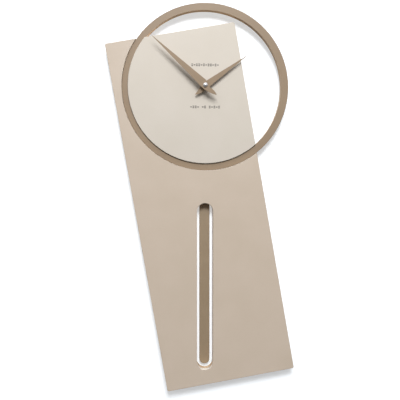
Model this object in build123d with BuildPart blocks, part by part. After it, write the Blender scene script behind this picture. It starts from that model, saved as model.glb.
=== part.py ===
# Pendulum wall clock: a tilted board with a ring, a round dial, a slot and a swinging rod.
# The origin is the entry hole of the keyhole plate, on the wall plane. +X is right and +Z up for a person
# who faces the dial, and the wall is the plane Y = 0. "height" below is the distance out from the wall.
import math
import os

from build123d import *

os.makedirs("parts", exist_ok=True)

# ---- driving dimensions, mm and degrees ----
hub_z = -60.0                 # hands axis below the keyhole
tilt = 10.0                   # the board leans to the left by this angle
board_width = 202.0
board_length = 547.8
board_x = -6.6                # centre of the board, from the hands axis
board_z = -188.7
corner_radius = 2.5
tip_radius = 4.0              # rounding where a circle meets a straight side
edge_easing = 0.6             # sanded front edges

spacer_depth = 10.0           # air gap to the wall, filled by the battens
board_back = 10.0
panel_back = 20.0             # the base board is 10 thick
panel_front = 28.0            # the front panel and the dial are 8 thick

ring_outer = 129.0
ring_centre = (0.9, -0.5)     # the rim is cut a little right of the hands axis and below it
ring_inner = 118.3
hole_centre = (0.0, -0.9)
ring_back = 14.0              # where the ring stands free of the rectangle it is 10 thick
ring_front = 24.0             # and it stands 4 proud of the rebate that the panel and dial lie in
panel_cutout_radius = 129.2   # round the ring's centre
dial_radius = 118.9

slot_width = 24.9
slot_top = -180.7             # from the hands axis
slot_bottom = -442.2

case_half_width = 29.0
case_top = 29.0               # from the hands axis, like every height inside the movement
case_bottom = -57.0
case_wall = 1.5
case_back = 3.5
case_front = 19.0
cover_back = 2.0
gear_plate_back = 6.3
gear_plate_front = 7.5

bushing_radius = 4.0
bushing_top = 32.0
pipe_radius = 2.5             # hour pipe
minute_tube_radius = 1.6
minute_seat_radius = 1.4
second_arbor_radius = 0.5
fine_arbor_radius = 0.4
pivot_play = 0.05             # radial clearance of every pivot

minute_hand_angle = 312.3     # clockwise from twelve
hour_hand_angle = 54.4
hand_thickness = 0.8
hour_hand_back = 32.6
hour_pipe_top = 34.0
minute_hand_back = 39.2

motion_module = 10.0 / 24     # cannon pinion 12 and motion wheel 36, 10 mm apart
hour_module = 10.0 / 25       # motion pinion 10 and hour wheel 40, 10 mm apart
centre_module = 9.0 / 36      # centre wheel 64 and third pinion 8, 9 mm apart
third_module = 9.0 / 34       # third wheel 60 and second pinion 8, 9 mm apart
second_module = 0.26          # second wheel 60 and intermediate pinion 10
rotor_module = 0.2            # intermediate wheel 60 and rotor pinion 12

motion_angle = 150.0          # directions from the hands axis, anticlockwise from +X
third_angle = -10.0
intermediate_angle = 75.0
rotor_angle = 60.0            # direction from the intermediate arbor

pendulum_pivot_z = -33.0
magnet_z = -48.0
rod_width = 16.1
rod_back = 5.0
rod_front = 8.0
rod_top = -68.0
rod_bottom = -438.5


def polar(radius, angle):
    return radius * math.cos(math.radians(angle)), radius * math.sin(math.radians(angle))


motion_x, motion_z = polar(10.0, motion_angle)
third_x, third_z = polar(9.0, third_angle)
intermediate_x, intermediate_z = polar(35 * second_module, intermediate_angle)
rotor_x = intermediate_x + polar(36 * rotor_module, rotor_angle)[0]
rotor_z = intermediate_z + polar(36 * rotor_module, rotor_angle)[1]


def facing(height, x=0.0, z=0.0, turn=0.0):
    """A sketch plane that faces the viewer, at a point measured from the hands axis."""
    lean = math.radians(turn)
    across = (math.cos(lean), 0, math.sin(lean))
    return Plane(origin=(x, -height, hub_z + z), x_dir=across, z_dir=(0, -1, 0))


def board_plane(height, along=0.0, up=0.0):
    """A sketch plane in the tilted board's own directions, measured from the board's centre."""
    lean = math.radians(tilt)
    x = board_x + along * math.cos(lean) - up * math.sin(lean)
    z = board_z + along * math.sin(lean) + up * math.cos(lean)
    return facing(height, x, z, tilt)


def tooth_outline(plane, teeth, module, turn=0.0, bore=0.0):
    """A spur gear outline with slim teeth, one of them centred on the turn angle."""
    pitch = module * teeth / 2
    base = pitch * math.cos(math.radians(20))
    slim = 0.76 * math.pi / (2 * teeth)

    def half_angle(radius):
        if radius <= base:
            return slim + math.tan(math.radians(20)) - math.radians(20)
        pressure = math.acos(base / radius)
        return slim + math.tan(math.radians(20)) - math.radians(20) - math.tan(pressure) + pressure

    root = pitch - 1.15 * module
    tip = pitch + 0.8 * module
    corners = []
    for tooth in range(teeth):
        centre = math.radians(turn) + tooth * 2 * math.pi / teeth
        for radius, side in ((root, -1), (tip, -1), (tip, 1), (root, 1)):
            angle = centre + side * half_angle(radius)
            corners.append((radius * math.cos(angle), radius * math.sin(angle)))
    with BuildSketch(plane) as outline:
        with BuildLine():
            Polyline(*corners, close=True)
        make_face()
        if bore:
            Circle(bore, mode=Mode.SUBTRACT)
    return outline.sketch


def save(piece, name):
    piece.part.label = name
    export_step(piece.part, f"parts/{name}.step")


def countersink(mouth_radius, hole_radius, depth):
    """Cuts a cone, open toward the wall, at each of the current locations."""
    mouth_first = (Align.CENTER, Align.CENTER, Align.MIN)
    Cone(mouth_radius, hole_radius, depth, rotation=(90, 0, 0), align=mouth_first, mode=Mode.SUBTRACT)


# ---- boards ----
# base board: the ring and the tilted rectangle cut from one sheet, with the rectangle rebated in front
# and the free part of the ring relieved behind
with BuildPart() as base_board:
    with BuildSketch(facing(board_back)):
        with Locations(ring_centre):
            Circle(ring_outer)
        with Locations(hole_centre):
            Circle(ring_inner, mode=Mode.SUBTRACT)
        with Locations((board_x, board_z)):
            RectangleRounded(board_width, board_length, corner_radius, rotation=tilt)
        with Locations((0, (case_top + case_bottom) / 2)):
            RectangleRounded(62, 90, 3, mode=Mode.SUBTRACT)
        with Locations((0, (slot_top + slot_bottom) / 2)):
            SlotOverall(slot_top - slot_bottom, slot_width, rotation=90, mode=Mode.SUBTRACT)
    extrude(amount=panel_back - board_back)
    with BuildSketch(facing(panel_back)):
        with Locations(ring_centre):
            Circle(ring_outer)
        with Locations(hole_centre):
            Circle(ring_inner, mode=Mode.SUBTRACT)
    extrude(amount=ring_front - panel_back)
    # the dial's seat, with a little room round it
    with BuildSketch(facing(panel_back)):
        with Locations((board_x, board_z)):
            Rectangle(board_width + 0.6, board_length + 0.6, rotation=tilt)
        Circle(dial_radius + 0.5, mode=Mode.INTERSECT)
    extrude(amount=ring_front - panel_back, mode=Mode.SUBTRACT)
    with BuildSketch(facing(board_back)):
        Circle(ring_outer + 5)
        with Locations((board_x, board_z)):
            RectangleRounded(board_width, board_length, corner_radius, rotation=tilt, mode=Mode.SUBTRACT)
    extrude(amount=ring_back - board_back, mode=Mode.SUBTRACT)
    # pilot holes for the batten screws and the spacer screws, drilled from the back
    with BuildSketch(facing(board_back, 0, -hub_z - 3)):
        with GridLocations(44, 28, 2, 2):
            Circle(1.6)
    extrude(amount=6, mode=Mode.SUBTRACT)
    with BuildSketch(board_plane(board_back, 0, -195)):
        with GridLocations(168, 32, 2, 2):
            Circle(1.6)
    extrude(amount=6, mode=Mode.SUBTRACT)
    outer_edges = base_board.faces().sort_by(Axis.Y)[0].edges()
    chamfer(outer_edges.filter_by(GeomType.CIRCLE).filter_by(lambda e: e.radius > ring_inner + 5), 0.4)

# front panel: everything of the rectangle outside the round cut-out
with BuildPart() as front_panel:
    with BuildSketch(facing(panel_back)) as panel_outline:
        with Locations((board_x, board_z)):
            RectangleRounded(board_width, board_length, corner_radius, rotation=tilt)
        with Locations(ring_centre):
            Circle(panel_cutout_radius, mode=Mode.SUBTRACT)
        tips = panel_outline.vertices().filter_by(
            lambda v: abs(v.distance_to(facing(panel_back, *ring_centre).origin) - panel_cutout_radius) < 0.01
        )
        fillet(tips, tip_radius)
        with Locations((0, (slot_top + slot_bottom) / 2)):
            SlotOverall(slot_top - slot_bottom, slot_width, rotation=90, mode=Mode.SUBTRACT)
    extrude(amount=panel_front - panel_back)
    fillet(front_panel.faces().sort_by(Axis.Y)[0].edges(), edge_easing)

# dial: the part of a disc that lies on the rectangle, drilled for the movement's bushing
with BuildPart() as dial_plate:
    with BuildSketch(facing(panel_back)) as dial_outline:
        Circle(dial_radius)
        with Locations((board_x, board_z)):
            RectangleRounded(board_width, board_length, corner_radius, rotation=tilt, mode=Mode.INTERSECT)
        tips = dial_outline.vertices().filter_by(
            lambda v: abs(v.distance_to(facing(panel_back).origin) - dial_radius) < 0.01
        )
        fillet(tips, tip_radius)
        Circle(bushing_radius + 0.2, mode=Mode.SUBTRACT)
    extrude(amount=panel_front - panel_back)
    front_rim = dial_plate.faces().sort_by(Axis.Y)[0].outer_wire().edges()
    fillet(front_rim, edge_easing)

# ---- wall fixing ----
# batten across the top of the board, recessed for the keyhole plate and the nail head
with BuildPart() as hanging_batten:
    with BuildSketch(facing(0, 0, -hub_z - 3)):
        RectangleRounded(60, 42, 2)
    extrude(amount=spacer_depth)
    with BuildSketch(facing(0, 0, -hub_z + 1)):
        RectangleRounded(22, 32, 3)
    extrude(amount=1.2, mode=Mode.SUBTRACT)
    with BuildSketch(facing(1.2, 0, -hub_z + 3)):
        SlotOverall(18, 11, rotation=90)
    extrude(amount=6.8, mode=Mode.SUBTRACT)
    with BuildSketch(facing(0, 0, -hub_z - 3)):
        with GridLocations(44, 28, 2, 2):
            Circle(1.6)
    extrude(amount=spacer_depth, mode=Mode.SUBTRACT)
    # countersinks on the wall side
    with Locations((-22, 0, -17), (22, 0, -17), (-22, 0, 11), (22, 0, 11)):
        countersink(3.2, 1.6, 1.8)
    with BuildSketch(facing(1.2, 0, -hub_z + 1)):
        with Locations((0, -12.6), (0, 13)):
            Circle(1.1)
    extrude(amount=6, mode=Mode.SUBTRACT)

# keyhole plate: the nail head enters the round hole, then the clock drops onto the neck
with BuildPart() as keyhole_plate:
    with BuildSketch(facing(0, 0, -hub_z + 1)):
        RectangleRounded(22, 32, 3)
    extrude(amount=1.2)
    with BuildSketch(facing(0, 0, -hub_z)):
        Circle(4.0)
        with Locations((0, 4)):
            Rectangle(4, 8)
        with Locations((0, 8)):
            Circle(2.0)
    extrude(amount=1.2, mode=Mode.SUBTRACT)
    with Locations((0, 0, -11.6), (0, 0, 14)):
        countersink(2.3, 1.1, 1.2)


def wood_screw(head_radius, shank_radius, head_depth, length, recess):
    """Profile of a countersunk screw about Z, its flat head at zero and its point up."""
    with BuildPart(mode=Mode.PRIVATE) as screw:
        with BuildSketch(Plane.XZ):
            with BuildLine():
                Polyline(
                    (0, 0), (head_radius, 0), (shank_radius, head_depth), (shank_radius, length - 1.5),
                    (0.3, length), (0, length), close=True,
                )
            make_face()
        revolve(axis=Axis.Z)
        with BuildSketch(Plane.XY):
            Rectangle(recess, recess / 4)
            Rectangle(recess / 4, recess)
        extrude(amount=head_depth * 0.6, mode=Mode.SUBTRACT)
    return screw.part


def screws_at(points, screw):
    """Copies of one screw, each with its head toward the wall at the given point."""
    return [Location(Plane(origin=point, x_dir=(1, 0, 0), z_dir=(0, -1, 0))) * screw for point in points]


plate_screw = wood_screw(2.3, 1.1, 1.2, 7.2, 2.2)
batten_screw = wood_screw(3.2, 1.6, 1.8, 16.0, 3.0)
spacer_screw = wood_screw(3.2, 1.6, 1.8, 14.0, 3.0)

with BuildPart() as keyhole_plate_screws:
    add(screws_at([(0, 0, -11.6), (0, 0, 14)], plate_screw))

with BuildPart() as batten_screws:
    add(screws_at([(-22, 0, -17), (22, 0, -17), (-22, 0, 11), (22, 0, 11)], batten_screw))


def spacer_at(along, up, height=0.0):
    return tuple(board_plane(height, along, up).origin)


with BuildPart() as spacer_screws:
    add(screws_at([spacer_at(a, u, 2) for a in (-84, 84) for u in (-211, -179)], spacer_screw))

# wooden spacers near the lower corners, each with a felt pad for the wall
for side, spacer_name, pad_name in (
    (-84, "lower_spacer_left", "wall_pad_left"),
    (84, "lower_spacer_right", "wall_pad_right"),
):
    with BuildPart() as lower_spacer:
        with BuildSketch(board_plane(2, side, -195)):
            RectangleRounded(18, 50, 1.5)
            with GridLocations(1, 32, 1, 2):
                Circle(1.6, mode=Mode.SUBTRACT)
        extrude(amount=spacer_depth - 2)
        with Locations(spacer_at(side, -211, 2), spacer_at(side, -179, 2)):
            countersink(3.2, 1.6, 1.8)
    save(lower_spacer, spacer_name)
    with BuildPart() as wall_pad:
        with BuildSketch(board_plane(0, side, -195)):
            Circle(8)
        extrude(amount=2)
        chamfer(wall_pad.faces().sort_by(Axis.Y)[-1].edges(), 0.4)
    save(wall_pad, pad_name)

# ---- movement case ----
with BuildPart() as movement_case:
    with BuildSketch(facing(case_back, 0, (case_top + case_bottom) / 2)):
        RectangleRounded(2 * case_half_width, case_top - case_bottom, 3)
    extrude(amount=case_front - case_back)
    fillet(movement_case.faces().sort_by(Axis.Y)[0].edges(), 0.8)
    # hollow from the back, leaving the front wall
    with BuildSketch(facing(case_back, 0, (case_top + case_bottom) / 2)):
        RectangleRounded(2 * (case_half_width - case_wall), case_top - case_bottom - 2 * case_wall, 1.5)
    extrude(amount=case_front - case_back - case_wall, mode=Mode.SUBTRACT)
    # ribs that close the battery bay above and below
    with BuildSketch(facing(case_back)):
        with Locations((0, -13.1), (0, -28.9)):
            Rectangle(2 * (case_half_width - case_wall), 1.2)
    extrude(amount=case_front - case_back - case_wall)
    # posts for the gear plate
    with BuildSketch(facing(gear_plate_front)):
        with Locations((22, -9), (-22, -9), (-20, 15)):
            Circle(1.8)
            Circle(0.7, mode=Mode.SUBTRACT)
    extrude(amount=case_front - case_wall - gear_plate_front)
    # notch in the bottom wall for the pendulum lever
    with BuildSketch(facing(case_back)):
        with Locations((0, case_bottom + case_wall / 2)):
            Rectangle(13, 3)
    extrude(amount=6.5, mode=Mode.SUBTRACT)
    # bushing hole
    with BuildSketch(facing(case_front - case_wall)):
        Circle(bushing_radius)
    extrude(amount=case_wall, mode=Mode.SUBTRACT)
    # blind pivot holes in the front wall
    with BuildSketch(facing(case_front - case_wall)):
        with Locations((third_x, third_z), (intermediate_x, intermediate_z)):
            Circle(fine_arbor_radius + pivot_play)
        with Locations((rotor_x, rotor_z)):
            Circle(0.5 + pivot_play)
        with Locations((motion_x, motion_z)):
            Circle(0.6 + pivot_play)
        with Locations((0, pendulum_pivot_z)):
            Circle(1.0)
    extrude(amount=1.0, mode=Mode.SUBTRACT)

# rear cover: open over the battery and round the setting knob
with BuildPart() as movement_rear_cover:
    with BuildSketch(facing(cover_back, 0, (case_top + case_bottom) / 2)):
        RectangleRounded(2 * case_half_width, case_top - case_bottom, 3)
    extrude(amount=case_back - cover_back)
    fillet(movement_rear_cover.faces().sort_by(Axis.Y)[-1].edges(), 0.6)
    with BuildSketch(facing(cover_back)):
        with Locations((0, -21)):
            RectangleRounded(54, 14.6, 1)
        with Locations((motion_x, motion_z)):
            Circle(5.5)
        with Locations((0, pendulum_pivot_z)):
            Circle(1.0)
    extrude(amount=case_back - cover_back, mode=Mode.SUBTRACT)

# gear plate with the rear pivot holes, screwed to three posts
with BuildPart() as gear_plate:
    with BuildSketch(facing(gear_plate_back, 0, 3.3)):
        RectangleRounded(51, 30, 3)
    extrude(amount=gear_plate_front - gear_plate_back)
    with BuildSketch(facing(gear_plate_back)):
        with Locations((third_x, third_z), (intermediate_x, intermediate_z)):
            Circle(fine_arbor_radius + pivot_play)
        with Locations((0, 0), (rotor_x, rotor_z)):
            Circle(0.5 + pivot_play)
        with Locations((motion_x, motion_z)):
            Circle(0.6 + pivot_play)
        with Locations((22, -9), (-22, -9), (-20, 15)):
            Circle(0.7)
        with Locations((-19, 2)):
            Circle(3.2)
    extrude(amount=gear_plate_front - gear_plate_back, mode=Mode.SUBTRACT)

with BuildPart() as gear_plate_screws:
    with BuildSketch(facing(gear_plate_back)):
        with Locations((22, -9), (-22, -9), (-20, 15)):
            Circle(0.7)
    extrude(amount=6)
    with BuildSketch(facing(gear_plate_back)):
        with Locations((22, -9), (-22, -9), (-20, 15)):
            Circle(1.5)
    extrude(amount=-1.0)
    with BuildSketch(facing(gear_plate_back - 1.0)):
        with Locations((22, -9), (-22, -9), (-20, 15)):
            Rectangle(2.0, 0.4)
            Rectangle(0.4, 2.0)
    extrude(amount=0.5, mode=Mode.SUBTRACT)

# threaded bushing, its flange against the case front
with BuildPart() as threaded_bushing:
    with BuildSketch(facing(case_front - case_wall)):
        Circle(bushing_radius)
    extrude(amount=bushing_top - case_front + case_wall)
    chamfer(threaded_bushing.faces().sort_by(Axis.Y)[0].edges(), 0.4)
    with BuildSketch(facing(case_front)):
        Circle(6.5)
    extrude(amount=0.8)
    with BuildSketch(facing(case_front - case_wall)):
        Circle(pipe_radius + 0.1)
    extrude(amount=bushing_top - case_front + case_wall, mode=Mode.SUBTRACT)
    # run-out groove of the thread above the nut
    with BuildSketch(facing(31.15)):
        Circle(bushing_radius + 1)
        Circle(bushing_radius - 0.3, mode=Mode.SUBTRACT)
    extrude(amount=0.25, mode=Mode.SUBTRACT)

with BuildPart() as dial_gasket:
    with BuildSketch(facing(case_front)):
        Circle(13)
        Circle(6.8, mode=Mode.SUBTRACT)
    extrude(amount=panel_back - case_front)

with BuildPart() as bushing_washer:
    with BuildSketch(facing(panel_front)):
        Circle(6)
        Circle(bushing_radius + 0.1, mode=Mode.SUBTRACT)
    extrude(amount=0.5)

with BuildPart() as bushing_nut:
    with BuildSketch(facing(panel_front + 0.5)):
        RegularPolygon(5.0, 6, major_radius=False)
        Circle(bushing_radius, mode=Mode.SUBTRACT)
    extrude(amount=2.5)
    chamfer(bushing_nut.faces().sort_by(Axis.Y)[0].outer_wire().edges(), 0.3)

# ---- stepper motor and circuit ----
with BuildPart() as circuit_board:
    with BuildSketch(facing(16.3, 19.2, 3.5)):
        Rectangle(15.4, 17)
    extrude(amount=case_front - case_wall - 16.3)

with BuildPart() as control_chip:
    with BuildSketch(facing(15.2, 21, 6)):
        Circle(2.6)
    extrude(amount=1.1)
    fillet(control_chip.faces().sort_by(Axis.Y)[-1].edges(), 0.7)

with BuildPart() as quartz_crystal:
    with BuildSketch(Plane.XY.offset(hub_z - 3.5)):
        with Locations((15, -15.3)):
            Circle(1.0)
    extrude(amount=6)
    fillet(quartz_crystal.faces().sort_by(Axis.Z)[-1].edges(), 0.4)

# stator plate: a bar with the rotor hole and two legs up to the coil core
with BuildPart() as motor_stator:
    with BuildSketch(facing(12.0)):
        with BuildLine():
            Polyline(
                (-12, 11), (22, 11), (22, 26), (17, 26), (17, 19), (-7, 19), (-7, 26), (-12, 26), close=True
            )
        make_face()
        with Locations((rotor_x, rotor_z)):
            Circle(3.4, mode=Mode.SUBTRACT)
    extrude(amount=1.0)

with BuildPart() as coil_core:
    with BuildSketch(facing(11.0)):
        with Locations((5, 23)):
            Rectangle(34, 3)
    extrude(amount=1.0)

with BuildPart() as coil_bobbin:
    with BuildSketch(Plane.YZ.offset(-6.4)):
        with Locations((-11.5, hub_z + 23)):
            Circle(2.1)
            Rectangle(1.0, 3.0, mode=Mode.SUBTRACT)
    extrude(amount=22.8)
    for start in (-6.4, 15.4):
        with BuildSketch(Plane.YZ.offset(start)):
            with Locations((-11.5, hub_z + 23)):
                Circle(3.5)
                Rectangle(1.0, 3.0, mode=Mode.SUBTRACT)
        extrude(amount=1.0)

with BuildPart() as coil_winding:
    with BuildSketch(Plane.YZ.offset(-5.4)):
        with Locations((-11.5, hub_z + 23)):
            Circle(3.1)
            Circle(2.1, mode=Mode.SUBTRACT)
    extrude(amount=20.8)

# ---- battery ----
with BuildPart() as battery_cell:
    with BuildSketch(Plane.YZ.offset(-24.6)):
        with Locations((-10.3, hub_z - 21)):
            Circle(7.1)
    extrude(amount=49.2)
    fillet(battery_cell.edges().filter_by(GeomType.CIRCLE), 0.5)
    with BuildSketch(Plane.YZ.offset(24.6)):
        with Locations((-10.3, hub_z - 21)):
            Circle(2.75)
    extrude(amount=1.2)

# bent spring strips at both ends of the cell
with BuildPart() as battery_contact_plus:
    with BuildSketch(Plane.XY.offset(hub_z - 25)):
        with BuildLine():
            Polyline(
                (25.8, -9), (25.8, -11.5), (26.8, -16), (27.5, -16), (27.5, -4), (27.1, -4), (27.1, -15.4),
                (26.2, -11.3), (26.2, -9), close=True,
            )
        make_face()
    extrude(amount=8)

with BuildPart() as battery_contact_minus:
    with BuildSketch(Plane.XY.offset(hub_z - 25)):
        with BuildLine():
            Polyline(
                (-24.6, -9), (-24.6, -11), (-26.8, -16), (-27.5, -16), (-27.5, -4), (-27.1, -4),
                (-27.1, -15), (-25.0, -10.4), (-25.0, -9), close=True,
            )
        make_face()
    extrude(amount=8)

# ---- going train ----
# rotor arbor with its pinion, and the disc magnet pressed on it
with BuildPart() as rotor_arbor:
    with BuildSketch(facing(gear_plate_back + 0.1, rotor_x, rotor_z)):
        Circle(0.5)
    extrude(amount=18.3 - gear_plate_back - 0.1)
    extrude(tooth_outline(facing(7.75, rotor_x, rotor_z), 12, rotor_module, rotor_angle + 180), amount=1.1)

with BuildPart() as rotor_magnet:
    with BuildSketch(facing(11.0, rotor_x, rotor_z)):
        Circle(3.0)
        Circle(0.5, mode=Mode.SUBTRACT)
    extrude(amount=3.0)

with BuildPart() as intermediate_wheel:
    with BuildSketch(facing(gear_plate_back + 0.1, intermediate_x, intermediate_z)):
        Circle(fine_arbor_radius)
    extrude(amount=18.3 - gear_plate_back - 0.1)
    wheel_plane = facing(8.0, intermediate_x, intermediate_z)
    extrude(tooth_outline(wheel_plane, 60, rotor_module, rotor_angle + 3), amount=0.6)
    pinion_plane = facing(8.6, intermediate_x, intermediate_z)
    extrude(tooth_outline(pinion_plane, 10, second_module, intermediate_angle + 180), amount=2.2)

with BuildPart() as second_wheel:
    with BuildSketch(facing(gear_plate_back + 0.1)):
        Circle(second_arbor_radius)
    extrude(amount=30 - gear_plate_back - 0.1)
    extrude(tooth_outline(facing(9.6), 60, second_module, intermediate_angle + 3), amount=0.8)
    extrude(tooth_outline(facing(10.4), 8, third_module, third_angle), amount=2.4)

with BuildPart() as third_wheel:
    with BuildSketch(facing(gear_plate_back + 0.1, third_x, third_z)):
        Circle(fine_arbor_radius)
    extrude(amount=18.3 - gear_plate_back - 0.1)
    extrude(tooth_outline(facing(11.6, third_x, third_z), 60, third_module, third_angle + 183), amount=0.8)
    extrude(tooth_outline(facing(12.4, third_x, third_z), 8, centre_module, third_angle + 180), amount=2.4)

# centre wheel: slips on the minute arbor when the hands are set
with BuildPart() as centre_wheel:
    centre_turn = third_angle + 180 / 64
    extrude(tooth_outline(facing(13.6), 64, centre_module, centre_turn, minute_tube_radius), amount=0.8)

# ---- motion work and hands ----
with BuildPart() as minute_arbor:
    with BuildSketch(facing(13.2)):
        Circle(minute_tube_radius)
    extrude(amount=minute_hand_back - 13.2)
    with BuildSketch(facing(minute_hand_back)):
        Circle(minute_seat_radius)
    extrude(amount=2.6)
    extrude(tooth_outline(facing(14.9), 12, motion_module, motion_angle), amount=1.05)
    with BuildSketch(facing(13.2)):
        Circle(second_arbor_radius + 0.1)
    extrude(amount=18, mode=Mode.SUBTRACT)

with BuildPart() as motion_wheel:
    with BuildSketch(facing(1.2, motion_x, motion_z)):
        Circle(0.6)
    extrude(amount=18.3 - 1.2)
    wheel_plane = facing(15.05, motion_x, motion_z)
    extrude(tooth_outline(wheel_plane, 36, motion_module, motion_angle + 185), amount=0.75)
    pinion_plane = facing(15.8, motion_x, motion_z)
    extrude(tooth_outline(pinion_plane, 10, hour_module, motion_angle + 180), amount=1.4)

# setting knob on the rear end of the motion wheel's arbor, grooved for the fingers
with BuildPart() as setting_knob:
    with BuildSketch(facing(0.8, motion_x, motion_z)):
        Circle(5.0)
        with PolarLocations(5.25, 18):
            Circle(0.55, mode=Mode.SUBTRACT)
        Circle(0.6, mode=Mode.SUBTRACT)
    extrude(amount=3.4)

with BuildPart() as hour_wheel:
    extrude(tooth_outline(facing(16.3), 40, hour_module, motion_angle + 4.5), amount=0.9)
    with BuildSketch(facing(16.3)):
        Circle(pipe_radius)
    extrude(amount=hour_pipe_top - 16.3)
    with BuildSketch(facing(16.3)):
        Circle(minute_tube_radius + 0.1)
    extrude(amount=hour_pipe_top - 16.3, mode=Mode.SUBTRACT)


def hand_outline(plane, length, tail, half_width, mirror_side, lean, bore):
    """A needle blade pointing along +Y of the plane, with a hooked tail that leans to one side."""
    bend = 0.7 + 0.7 * lean
    with BuildSketch(plane) as outline:
        with BuildLine():
            point = (0.15 * mirror_side, length)
            full_shoulder = (-half_width * mirror_side, 3.0)
            bare_shoulder = (half_width * mirror_side, 4.0)
            tail_point = (lean * mirror_side, -tail)
            notch = (2.3 * mirror_side, -0.38 * tail)
            Line((-0.15 * mirror_side, length), point)
            Line(point, bare_shoulder)
            Spline(bare_shoulder, notch, ((1.5 + bend) * mirror_side, -0.62 * tail), tail_point)
            flare = (-5.8 * mirror_side, -0.25 * tail)
            Spline(tail_point, ((-4.0 + bend) * mirror_side, -0.68 * tail), flare, full_shoulder)
            Line(full_shoulder, (-0.15 * mirror_side, length))
        make_face()
        Circle(bore, mode=Mode.SUBTRACT)
    return outline.sketch


with BuildPart() as hour_hand:
    hand_plane = facing(hour_hand_back, turn=-hour_hand_angle)
    extrude(hand_outline(hand_plane, 80, 20.8, 5.2, -1, -2.2, pipe_radius), amount=hand_thickness)

with BuildPart() as minute_hand:
    hand_plane = facing(minute_hand_back, turn=-minute_hand_angle)
    extrude(hand_outline(hand_plane, 110.5, 23.0, 6.2, 1, 0.3, minute_seat_radius), amount=hand_thickness)

# domed cap nut that closes the arbor
with BuildPart() as hand_cap_nut:
    with BuildSketch(Plane.XY.offset(hub_z)):
        with BuildLine():
            cap_back = -minute_hand_back - hand_thickness
            dome = CenterArc((0, cap_back + 0.2), 3.7, -90, 70)
            Polyline(
                dome @ 1, ((dome @ 1).X, cap_back), (minute_seat_radius, cap_back),
                (minute_seat_radius, cap_back - 2.1), (0, cap_back - 2.1), dome @ 0,
            )
        make_face()
    revolve(axis=Axis((0, 0, hub_z), (0, 1, 0)))

# ---- pendulum ----
with BuildPart() as pendulum_pivot_pin:
    with BuildSketch(facing(cover_back, 0, pendulum_pivot_z)):
        Circle(1.0)
    extrude(amount=16.5)
    with BuildSketch(facing(12.2, 0, pendulum_pivot_z)):
        Circle(2.0)
    extrude(amount=case_front - case_wall - 12.2)

with BuildPart() as pendulum_coil:
    with BuildSketch(facing(12.3, 0, magnet_z)):
        Circle(7.2)
        Circle(2.4, mode=Mode.SUBTRACT)
    extrude(amount=case_front - case_wall - 12.3)
    fillet(pendulum_coil.faces().sort_by(Axis.Y)[-1].edges(), 0.5)

with BuildPart() as pendulum_lever:
    with BuildSketch(facing(6)):
        with Locations((0, pendulum_pivot_z)):
            Circle(3.2)
        with Locations((0, (pendulum_pivot_z - 60) / 2)):
            Rectangle(5, 60 + pendulum_pivot_z)
        with Locations((0, magnet_z)):
            Circle(4.4)
        with Locations((0, -62)):
            RectangleRounded(10, 8, 1)
        with Locations((0, -61.5)):
            Rectangle(6.4, 3.0, mode=Mode.SUBTRACT)
    extrude(amount=2)
    with BuildSketch(facing(4, 0, pendulum_pivot_z)):
        Circle(2.6)
    extrude(amount=8)
    with BuildSketch(facing(4, 0, pendulum_pivot_z)):
        Circle(1.0 + pivot_play)
    extrude(amount=8, mode=Mode.SUBTRACT)

with BuildPart() as pendulum_magnet:
    with BuildSketch(facing(8, 0, magnet_z)):
        Circle(3.6)
    extrude(amount=3.5)

# steel strap that hooks through the lever's eye
with BuildPart() as pendulum_hanger:
    with BuildSketch(Plane.YZ.offset(-2.8)):
        with BuildLine():
            Polyline(
                (-4.2, hub_z - 92), (-4.2, hub_z - 62.2), (-8.2, hub_z - 62.2), (-8.2, hub_z - 59.8),
                (-9.0, hub_z - 59.8), (-9.0, hub_z - 63), (-5.0, hub_z - 63), (-5.0, hub_z - 92),
                close=True,
            )
        make_face()
    extrude(amount=5.6)
    with BuildSketch(facing(4.2)):
        with Locations((0, -75), (0, -86)):
            Circle(1.2)
    extrude(amount=0.8, mode=Mode.SUBTRACT)

with BuildPart() as pendulum_rod:
    with BuildSketch(facing(rod_back)):
        with Locations((0, (rod_top + rod_bottom) / 2)):
            SlotOverall(rod_top - rod_bottom, rod_width, rotation=90)
        with Locations((0, rod_top - 6)):
            RectangleRounded(rod_width, 12, 2)
    extrude(amount=rod_front - rod_back)
    with BuildSketch(facing(rod_back)):
        with Locations((0, -75), (0, -86)):
            Circle(1.2)
    extrude(amount=rod_front - rod_back, mode=Mode.SUBTRACT)
    chamfer(pendulum_rod.faces().sort_by(Axis.Y)[0].outer_wire().edges(), 0.3)

with BuildPart() as hanger_rivets:
    with BuildSketch(facing(4.2)):
        with Locations((0, -75), (0, -86)):
            Circle(1.2)
    extrude(amount=rod_front - 4.2)
    for start in (3.7, rod_front):
        with BuildSketch(facing(start)):
            with Locations((0, -75), (0, -86)):
                Circle(2.2)
        extrude(amount=0.5)

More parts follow.
